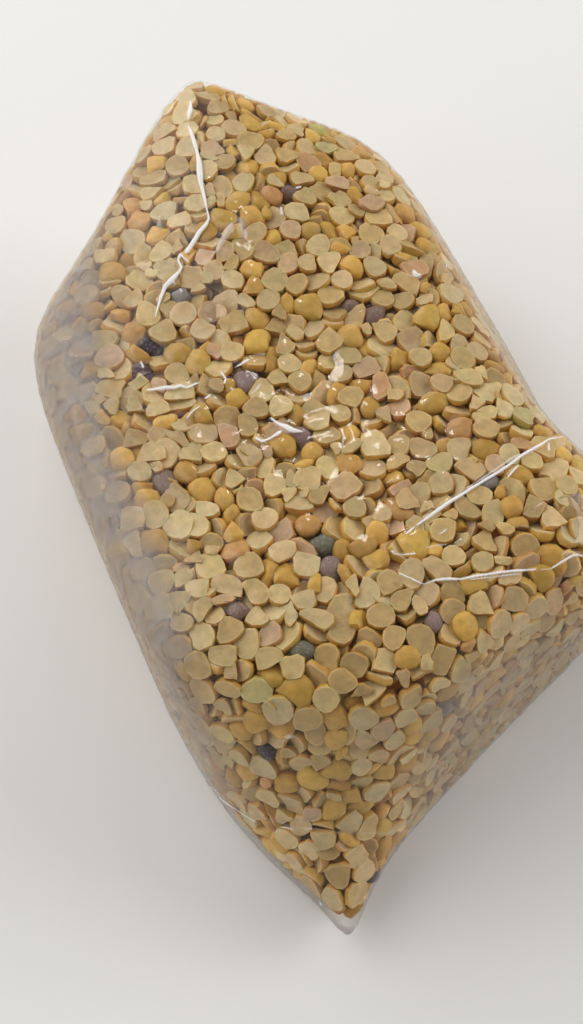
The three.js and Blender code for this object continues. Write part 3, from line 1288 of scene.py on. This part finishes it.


# Each is raised as a ridge, and its white is partly stress and partly a painted highlight: the glint of the light on
# the crease, or on the film drawn tight over a pea.
CREASES_AND_GLINTS: tuple[CreaseAndGlint, ...] = (
    # The long crease at the far end, in three stretches.
    CreaseAndGlint((
        (190, 96, 0.8), (190.6, 108, 3.5), (189, 117, 5), (187, 123, 1.6), (190, 130, 1.5), (193, 138, 3.2),
        (196.5, 150, 4), (199, 161, 3), (200, 173, 5.5), (201, 184, 6), (204, 196, 3.5), (206.5, 208, 3),
        (209, 218, 1.8), (206, 225, 2.4), (200, 232, 4.2), (193, 243, 4.8), (187, 252, 4.5),
    )),
    CreaseAndGlint(((189, 262, 1.2), (183, 257, 1.6), (180, 254, 3), (178, 261, 2.2), (181.5, 267, 2.6))),
    CreaseAndGlint((
        (181.5, 267, 2.6), (179, 272, 3), (171.5, 281, 6), (165, 287, 4.2), (161, 297, 3.2), (157, 310, 1.8),
        (155, 317, 0.8),
    )),
    CreaseAndGlint(((217, 252, 2), (221, 243, 5), (230, 229, 7), (232, 224, 3)), 0.42, 0.8),
    CreaseAndGlint(((240, 219, 4), (242, 228, 7), (244, 238, 4)), 0.3, 0.9),
    CreaseAndGlint(((160, 218, 4), (160, 227, 6)), 0.3, 0.9),
    CreaseAndGlint(((281, 208, 2), (282, 214, 2.4)), 0.8),
    CreaseAndGlint(((297, 188, 2.4), (300, 187, 2.4)), 0.8),
    CreaseAndGlint(((414, 271, 3), (416, 277, 7), (419, 275, 4)), 0.8, 0.5),
    CreaseAndGlint(((446, 267, 1.5), (448, 262, 1.5)), 0.8),
    # Painted glints and streaks in the middle of the top face.
    CreaseAndGlint((
        (148, 390, 2), (157, 389, 3.5), (168, 388, 4.6), (175, 388, 3.4), (180, 385.5, 3.2), (186, 388, 2),
        (195, 384, 2.6), (199, 382.5, 1),
    )),
    CreaseAndGlint(((234, 367.5, 1.2), (241, 364, 2.4), (248, 360, 2.6))),
    CreaseAndGlint(((221, 372, 1.6), (224, 376, 2.4), (226, 378, 1.6), (224.5, 383, 2))),
    CreaseAndGlint(((231, 388, 1.6), (233, 390, 1.6)), 0.8),
    CreaseAndGlint(((206, 398, 2.5), (209, 398, 4), (210, 395, 2))),
    CreaseAndGlint(((187, 418, 1.4), (191.5, 412, 2), (199, 407, 1.6)), 0.8),
    CreaseAndGlint(((271, 418, 2), (278, 423.5, 3.2), (286, 427, 6), (292, 430.5, 6.5), (302, 431.5, 1.6))),
    CreaseAndGlint(((256, 438, 2.4), (262, 441.5, 3), (273, 437, 2.4), (278, 434, 4.5), (281, 431, 2))),
    CreaseAndGlint(((255, 354, 1.5), (265, 354, 1.8)), 0.7),
    CreaseAndGlint(((252, 393, 1.2), (257, 389, 2.4), (260, 385, 1.6)), 0.6),
    CreaseAndGlint(((141, 375, 1.2), (151, 371.5, 1.2)), 0.5),
    CreaseAndGlint(((141, 362, 2), (143, 367, 2.4)), 0.8),
    CreaseAndGlint(((180, 289, 1.6), (182, 292, 1.8)), 0.7),
    CreaseAndGlint(((209, 318, 1.4), (212, 320, 1.6)), 0.7),
    # The two creases of the right ear, each with a fainter line beside it.
    CreaseAndGlint(((406, 534, 1.2), (411, 530, 2.4), (414, 527, 1.2))),
    CreaseAndGlint((
        (417, 525, 1.4), (423, 521, 2.6), (435.5, 512, 3.6), (448, 503, 3.6), (461, 495, 3), (473.5, 487, 2.6),
        (486, 479.5, 2.8), (498.5, 472, 2.6), (511, 464, 2.6), (521.5, 455.5, 2.8), (536.5, 447, 2.2),
        (549, 439, 1.6), (562, 436.5, 1.6),
    )),
    CreaseAndGlint(((452, 497, 1), (478, 481, 1.5), (494, 470.5, 1.5), (511, 459, 1.5), (520, 454, 1.2)), 0.6),
    CreaseAndGlint(((508, 477, 1.4), (513, 471, 2.4), (518, 466, 1.6)), 0.9),
    CreaseAndGlint(((549, 443, 2), (549, 450, 2)), 0.8),
    CreaseAndGlint((
        (399.5, 573.5, 1.2), (410, 578, 1.4), (423, 584, 1.4), (435.5, 580, 2.2), (448, 579, 2.8), (461, 579, 2.2),
        (473.5, 576.5, 2.4), (492, 573.5, 2.4), (511, 571, 2.6), (533, 569.5, 3), (537, 569, 1.2),
    )),
    CreaseAndGlint(((470, 579.5, 1.2), (492, 577, 1.4), (511, 574.5, 1.4), (528, 573, 1.2)), 0.75),
    CreaseAndGlint((
        (541, 569.5, 1), (549, 569.5, 1.2), (553, 567.5, 2.2), (568, 558, 2.8), (575, 554.5, 2.8), (583, 556, 2.4)
    )),
    CreaseAndGlint(((392, 551, 2), (395, 554, 1.8), (404, 554.5, 1.8), (415, 553.5, 1.4)), 0.9),
    CreaseAndGlint(((427, 547.5, 1), (438, 545, 1.4), (451, 544, 1)), 0.5),
    CreaseAndGlint(((455, 542.5, 1.4), (461, 539, 1.8)), 0.8),
    CreaseAndGlint(((440.5, 534, 1.4), (446, 530, 1.6)), 0.7),
    CreaseAndGlint(((534, 508, 1), (547, 500, 1.2)), 0.6),
    # Painted glints and streaks around the near ear, and the fold above it.
    CreaseAndGlint(((219, 797.5, 1.4), (231, 806, 1.8), (243, 814.5, 2.2), (257, 822.5, 1.4))),
    CreaseAndGlint(((275, 833, 1.2), (281, 827.5, 1.6), (287, 827.5, 2.2), (293, 829.5, 1.6))),
    CreaseAndGlint(((304, 829, 1.6), (311, 828, 1.8))),
    CreaseAndGlint(((297, 898, 2), (300, 900, 2.4)), 0.8),
    CreaseAndGlint(((319, 901, 2), (321, 905, 3)), 0.9),
    CreaseAndGlint(((331, 905, 1.6), (333, 907, 2)), 0.7),
    CreaseAndGlint(((362, 901, 1.6), (365, 897, 2.4)), 0.9),
    CreaseAndGlint(((357.5, 928, 1.8), (360, 930, 2)), 0.9),
    CreaseAndGlint(((385, 880, 1.6), (387, 874, 2.2)), 0.8),
    CreaseAndGlint(((287, 737, 4), (291, 736, 6)), 0.4, 0.8),
    CreaseAndGlint((
        (205, 783, 2), (230, 802, 3), (258, 816, 3), (295, 826, 3), (335, 832, 3), (380, 833, 3), (424, 831, 2)
    ), 0.12),
)  # fmt: skip


@dataclass(frozen=True)
class HazeAndReflectionPatch:
    """A stretch of film that is milky, partly as a painted reflection of the pale floor, by its outline in pixels
    and by the way it faces where none is seen.
    """

    outline: tuple[Pixel, ...]
    strength: float
    soft_px: float
    azimuth: float
    elevation: float
    # How milky the film is round the side that the photograph hardly shows.
    side: float
    # How far the patch's border wanders in pixels, and the pitch of that across and down.
    wander: float = 4.0
    pitch: tuple[float, float] = (7.0, 11.0)

    def by_pixel(self, pixels: np.ndarray) -> np.ndarray:
        """How far inside the outline each pixel lies, from 0 to 1."""
        corners = np.array(self.outline, dtype=float)
        inside = np.zeros(len(pixels), dtype=bool)
        for (x0, y0), (x1, y1) in zip(corners, np.roll(corners, -1, axis=0)):
            crosses = (y0 > pixels[:, 1]) != (y1 > pixels[:, 1])
            slope = (x1 - x0) / (y1 - y0) if y1 != y0 else 0.0
            inside ^= crosses & (pixels[:, 0] < x0 + slope * (pixels[:, 1] - y0))
        distance, _ = path_distance(pixels, np.vstack([corners, corners[:1]]))
        wave = self.wander * np.sin(pixels[:, 1] / self.pitch[1]) * np.sin(pixels[:, 0] / self.pitch[0])
        signed = np.where(inside, distance, -distance) + wave
        near, well_in = (smooth_step(-reach, reach, signed) for reach in (self.soft_px, 4 * self.soft_px))
        return 0.5 * near + 0.5 * well_in


HAZE_AND_REFLECTION_PATCHES: tuple[HazeAndReflectionPatch, ...] = (
    HazeAndReflectionPatch(
        (
            (140, 120), (118, 170), (104, 200), (98, 230), (95, 300), (97, 380), (103, 430), (122, 480),
            (140, 520), (160, 560), (170, 600), (182, 650), (190, 690), (203, 725), (218, 762), (228, 800),
            (150, 900), (-40, 700), (-40, 120),
        ),
        0.72, 14.0, 190.0, -12.0, 0.3,
    ),
    HazeAndReflectionPatch(
        ((640, 600), (583, 624), (530, 648), (480, 668), (440, 695), (424, 730), (420, 830), (600, 900), (700, 700)),
        0.4, 14.0, -62.0, -10.0, 0.25,
    ),
)  # fmt: skip


@dataclass
class Film:
    """The clear film: a closed sheet drawn tight over the peas. Lengths are in millimetres."""

    voxel: float = 1.0
    # How far the film stays off the peas, what share of a gap it sags, and how much of a gap counts.
    clearance: float = 0.3
    sag: float = 0.22
    deepest: float = 0.7
    # How far in the peas are looked for.
    far: float = 3.0
    # How far from a crease its faces are cut smaller, and how often.
    fine_zone: float = 0.9
    fine_cuts: int = 6
    # A crease's height and its spread, as shares of its half width, and its steps in pixels.
    ridge: float = 1.0
    spread: float = 1.2
    step_px: float = 3.0
    # How milky the film is everywhere, along the weld, and from where to where beside the weld.
    base_milk: float = 0.004
    weld_milk: float = 0.5
    weld_zone: tuple[float, float] = (1.5, 3.0)
    # How milky haze looks where a pea touches the film, over an open gap, and how wide such a gap is.
    touched: float = 0.62
    over_gap: float = 1.1
    open_gap: float = 1.2
    # Over which cosines to the camera haze passes from the side's to the outline's, and over which cosines to
    # the patch's own direction the side's haze sets in.
    seen_from: tuple[float, float] = (-0.05, 0.3)
    side_from: tuple[float, float] = (0.2, 0.9)

    def build(
        self, node: bpy.types.Object, form: BagForm, view: PhotoView, weld: np.ndarray, peas: list[bpy.types.Object]
    ) -> bpy.types.Object:
        """Draws the film over the peas.

        Args:
            node: The bag's solid.
            form: The bag's form.
            view: The photograph's camera.
            weld: The path of the bag's weld.
            peas: The joined meshes of peas.

        Returns:
            The film.
        """
        self.form, self.view = form, view
        self.trees = [BVHTree.FromObject(pea, bpy.context.evaluated_depsgraph_get()) for pea in peas]
        film = copy_of(node, "clear_film")
        apply_modifier(film, "REMESH", mode="VOXEL", voxel_size=self.voxel * MM)
        even_out(film, 2)
        points, normals = points_of(film.data, 1 / MM), normals_of(film.data)
        gaps = self.gaps(points, normals) - self.clearance
        drop = np.clip(gaps, -self.clearance, 0) + np.clip(gaps, 0, self.deepest) * self.sag
        set_points(film.data, (points - normals * drop[:, None]) * MM)
        even_out(film, 1)
        paths = [self.path_of(crease) for crease in CREASES_AND_GLINTS]
        self.refine(film, [places for places, _ in paths])
        set_values(film.data, "stress_and_glint", self.pinch(film, paths))
        set_values(film.data, "milk_and_reflection", self.milk_and_reflection(film, weld))
        select_only(film)
        bpy.ops.object.shade_smooth()
        return film

    def gaps(self, points: np.ndarray, normals: np.ndarray) -> np.ndarray:
        """How far straight in the first pea lies from each place on the sheet, up to the farthest asked for."""
        gaps = np.full(len(points), self.far)
        for number, (point, normal) in enumerate(zip(points + normals * self.clearance, normals)):
            start, way = Vector(point * MM), Vector(-normal)
            for tree in self.trees:
                distance = tree.ray_cast(start, way, self.far * MM)[3]
                if distance is not None:
                    gaps[number] = min(gaps[number], distance / MM - self.clearance)
        return gaps

    def path_of(self, crease: CreaseAndGlint) -> tuple[np.ndarray, np.ndarray]:
        """Lays a crease on the film, close together.

        Args:
            crease: The crease.

        Returns:
            The places along it and its half widths there.
        """
        knots = np.array(crease.path, dtype=float)
        lengths = np.concatenate([[0], np.cumsum(np.linalg.norm(np.diff(knots[:, :2], axis=0), axis=1))])
        steps = np.linspace(0, lengths[-1], max(2, int(lengths[-1] / self.step_px)))
        across, down, widths = (np.interp(steps, lengths, knots[:, k]) for k in range(3))
        places = np.array([self.form.under_pixel(self.view, pixel)[0] for pixel in zip(across, down)])
        reach = np.linalg.norm(places - self.view.eye(), axis=1)
        return places, widths / 2 * reach / self.view.focal_px

    def refine(self, film: bpy.types.Object, paths: list[np.ndarray]) -> None:
        """Cuts the sheet's faces smaller along the creases."""
        select_only(film)
        mesh = film.data
        centres = np.empty(len(mesh.polygons) * 3)
        mesh.polygons.foreach_get("center", centres)
        centres = centres.reshape(-1, 3) / MM
        near = np.zeros(len(centres), dtype=bool)
        for path in paths:
            near |= path_distance(centres, path)[0] < self.fine_zone
        bpy.ops.object.mode_set(mode="EDIT")
        bpy.ops.mesh.select_mode(type="FACE")
        bpy.ops.mesh.select_all(action="DESELECT")
        bpy.ops.object.mode_set(mode="OBJECT")
        mesh.polygons.foreach_set("select", near)
        bpy.ops.object.mode_set(mode="EDIT")
        bpy.ops.mesh.subdivide(number_cuts=self.fine_cuts)
        bpy.ops.mesh.select_mode(type="VERT")
        bpy.ops.object.mode_set(mode="OBJECT")

    def pinch(self, film: bpy.types.Object, paths: list[tuple[np.ndarray, np.ndarray]]) -> np.ndarray:
        """Raises the sheet to a sharp ridge along each crease, and paints it white as a highlight.

        Args:
            film: The film.
            paths: Each crease's places on the film and half widths.

        Returns:
            How white the film is at each vertex, from stress and the creases' painted highlight.
        """
        points, normals = points_of(film.data, 1 / MM), normals_of(film.data)
        lift = np.zeros(len(points))
        stress_and_glint = np.zeros(len(points))
        for crease, (places, halves) in zip(CREASES_AND_GLINTS, paths):
            distance, along = path_distance(points, places)
            half = np.interp(along, np.linspace(0, 1, len(halves)), halves)
            lift = np.maximum(lift, self.ridge * half * np.exp(-((distance / half / self.spread) ** 2)))
            highlight_edge = smooth_step(1 - crease.soft, 1 + crease.soft, distance / half)
            stress_and_glint = np.maximum(stress_and_glint, crease.glint_white * (1 - highlight_edge))
        points += normals * lift[:, None]
        # Nothing reaches under the table.
        points[:, 2] = np.maximum(points[:, 2], 0.0)
        set_points(film.data, points * MM)
        return np.clip(stress_and_glint, 0, 1)

    def milk_and_reflection(self, film: bpy.types.Object, weld: np.ndarray) -> np.ndarray:
        """How milky the film is at each vertex; in the patches this is partly a painted reflection of the pale
        floor.

        Args:
            film: The film.
            weld: The path of the bag's weld.

        Returns:
            A number from 0 to 1 a vertex.
        """
        points, normals = points_of(film.data, 1 / MM), normals_of(film.data)
        pixels = self.view.pixels(points)
        towards = -(unit_rows(points - self.view.eye()) * normals).sum(1)
        seen = smooth_step(*self.seen_from, towards)
        milk_and_reflection = np.full(len(points), self.base_milk)
        for patch in HAZE_AND_REFLECTION_PATCHES:
            way = np.array(direction(patch.azimuth, patch.elevation))
            by_side = smooth_step(*self.side_from, normals @ way)
            # Painted reflection: in a patch, and round its side, the milk is partly the pale floor mirrored in the
            # film.
            patch_haze_and_reflection = patch.strength * seen * patch.by_pixel(pixels) + patch.side * (1 - seen) * by_side
            milk_and_reflection = np.maximum(milk_and_reflection, patch_haze_and_reflection)
        gaps = smooth_step(0, self.open_gap, self.gaps(points, normals))
        milk_and_reflection *= self.touched + (self.over_gap - self.touched) * gaps
        distance, _ = path_distance(points, weld)
        return np.maximum(milk_and_reflection, self.weld_milk * (1 - smooth_step(*self.weld_zone, distance)))


@dataclass(frozen=True)
class SoftLight:
    """A square studio light that points at the bag, by its bearing and height as the bag sees it."""

    name: str
    azimuth: float
    elevation: float
    distance: float
    size: float
    power: float

    def build(self) -> None:
        """Adds the light."""
        data = bpy.data.lights.new(self.name, "AREA")
        data.size = self.size
        data.energy = self.power
        way = Vector(direction(self.azimuth, self.elevation))
        light = bpy.data.objects.new(self.name, data)
        light.location = way * self.distance
        light.rotation_euler = (-way).to_track_quat("-Z", "Y").to_euler()
        bpy.context.scene.collection.objects.link(light)


STUDIO_LIGHTS = (
    SoftLight("left_softbox", 165.0, 35.0, 1.3, 1.4, 6.6),
    SoftLight("back_softbox", 98.0, 28.0, 0.95, 1.1, 5.2),
    SoftLight("right_softbox", -8.0, 30.0, 1.2, 0.8, 7.3),
    SoftLight("top_softbox", 130.0, 58.0, 1.2, 0.8, 2.9),
    SoftLight("glint_lamp", 68.0, 59.0, 0.9, 0.04, 0.07),
)


@dataclass(frozen=True)
class Studio:
    """A pale floor and soft light. Lengths are in metres."""

    floor_size: float = 2.6
    # The floor lies a hair lower than the bag's base, so that the two don't flicker.
    floor_height: float = -0.00005
    floor_colour: str = "#efeeec"
    floor_roughness: float = 0.8
    sky_colour: str = "#f6f2ee"
    # How bright the room is, by height: beyond the floor, at the foot of its walls, and at its ceiling.
    levels: tuple[tuple[float, float], ...] = ((0.0, 0.8), (0.03, 0.5), (0.6, 0.15))

    def build(self) -> None:
        """Adds the floor, the lights and the world."""
        select_only()
        bpy.ops.mesh.primitive_plane_add(size=self.floor_size, location=(0, 0, self.floor_height))
        floor = bpy.context.object
        floor.name = "floor"
        bpy.ops.object.transform_apply(location=True, rotation=True, scale=True)
        material, add = new_material("pale_floor")
        sockets = {"Base Color": linear(self.floor_colour), "Roughness": self.floor_roughness}
        shader = add("ShaderNodeBsdfPrincipled", sockets)
        add("ShaderNodeOutputMaterial", {0: shader.outputs[0]})
        floor.data.materials.append(material)
        for light in STUDIO_LIGHTS:
            light.build()
        world = bpy.data.worlds.new("studio")
        world.use_nodes = True
        sky = world.node_tree
        add = partial(add_node, sky)
        background = sky.nodes["Background"]
        background.inputs["Color"].default_value = linear(self.sky_colour)
        place = add("ShaderNodeTexCoord")
        axes = add("ShaderNodeSeparateXYZ", {0: place.outputs["Generated"]})
        stops = [(height, (level, level, level, 1.0)) for height, level in self.levels]
        strength = add("ShaderNodeValToRGB", {0: axes.outputs["Z"]}, stops)
        sky.links.new(strength.outputs[0], background.inputs["Strength"])
        bpy.context.scene.world = world
        bpy.context.scene.view_settings.view_transform = "Standard"


def main() -> None:
    """Builds the bag piece by piece."""
    logging.basicConfig(level=logging.INFO, format="%(relativeCreated)7d %(name)s: %(message)s")
    view = PhotoView()
    view.build()
    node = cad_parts[BAG_NODE]
    form = BagForm()
    form.measure(node)
    LOG.info("bag form measured")
    seeds = np.array([seed.place(form, view) for seed in SEEN_SEEDS])
    sizes = np.array([seed.radius for seed in SEEN_SEEDS])
    weld = np.array([form.under_pixel(view, pixel)[0] for pixel in WELD_PIXELS])
    packing = PeaPacking()
    packing.deal(form, seeds, sizes, weld)
    packing.run()
    fill = Fill(husks=tuple(seed.husk for seed in SEEN_SEEDS))
    fill.build(packing)
    pea_material, seed_material = PeaFinish().build(), DarkSeedFinish().build()
    for piece in fill.pieces:
        place_in_row(piece, seed_material if piece.name == PeaKind.DARK_SEED.value else pea_material)
    place_in_row(FillCore().build(node, form), CoreFinish().build())
    place_in_row(Film().build(node, form, view, weld, fill.pieces), FilmFinish().build())
    Studio().build()


if __name__ == "__main__":
    main()
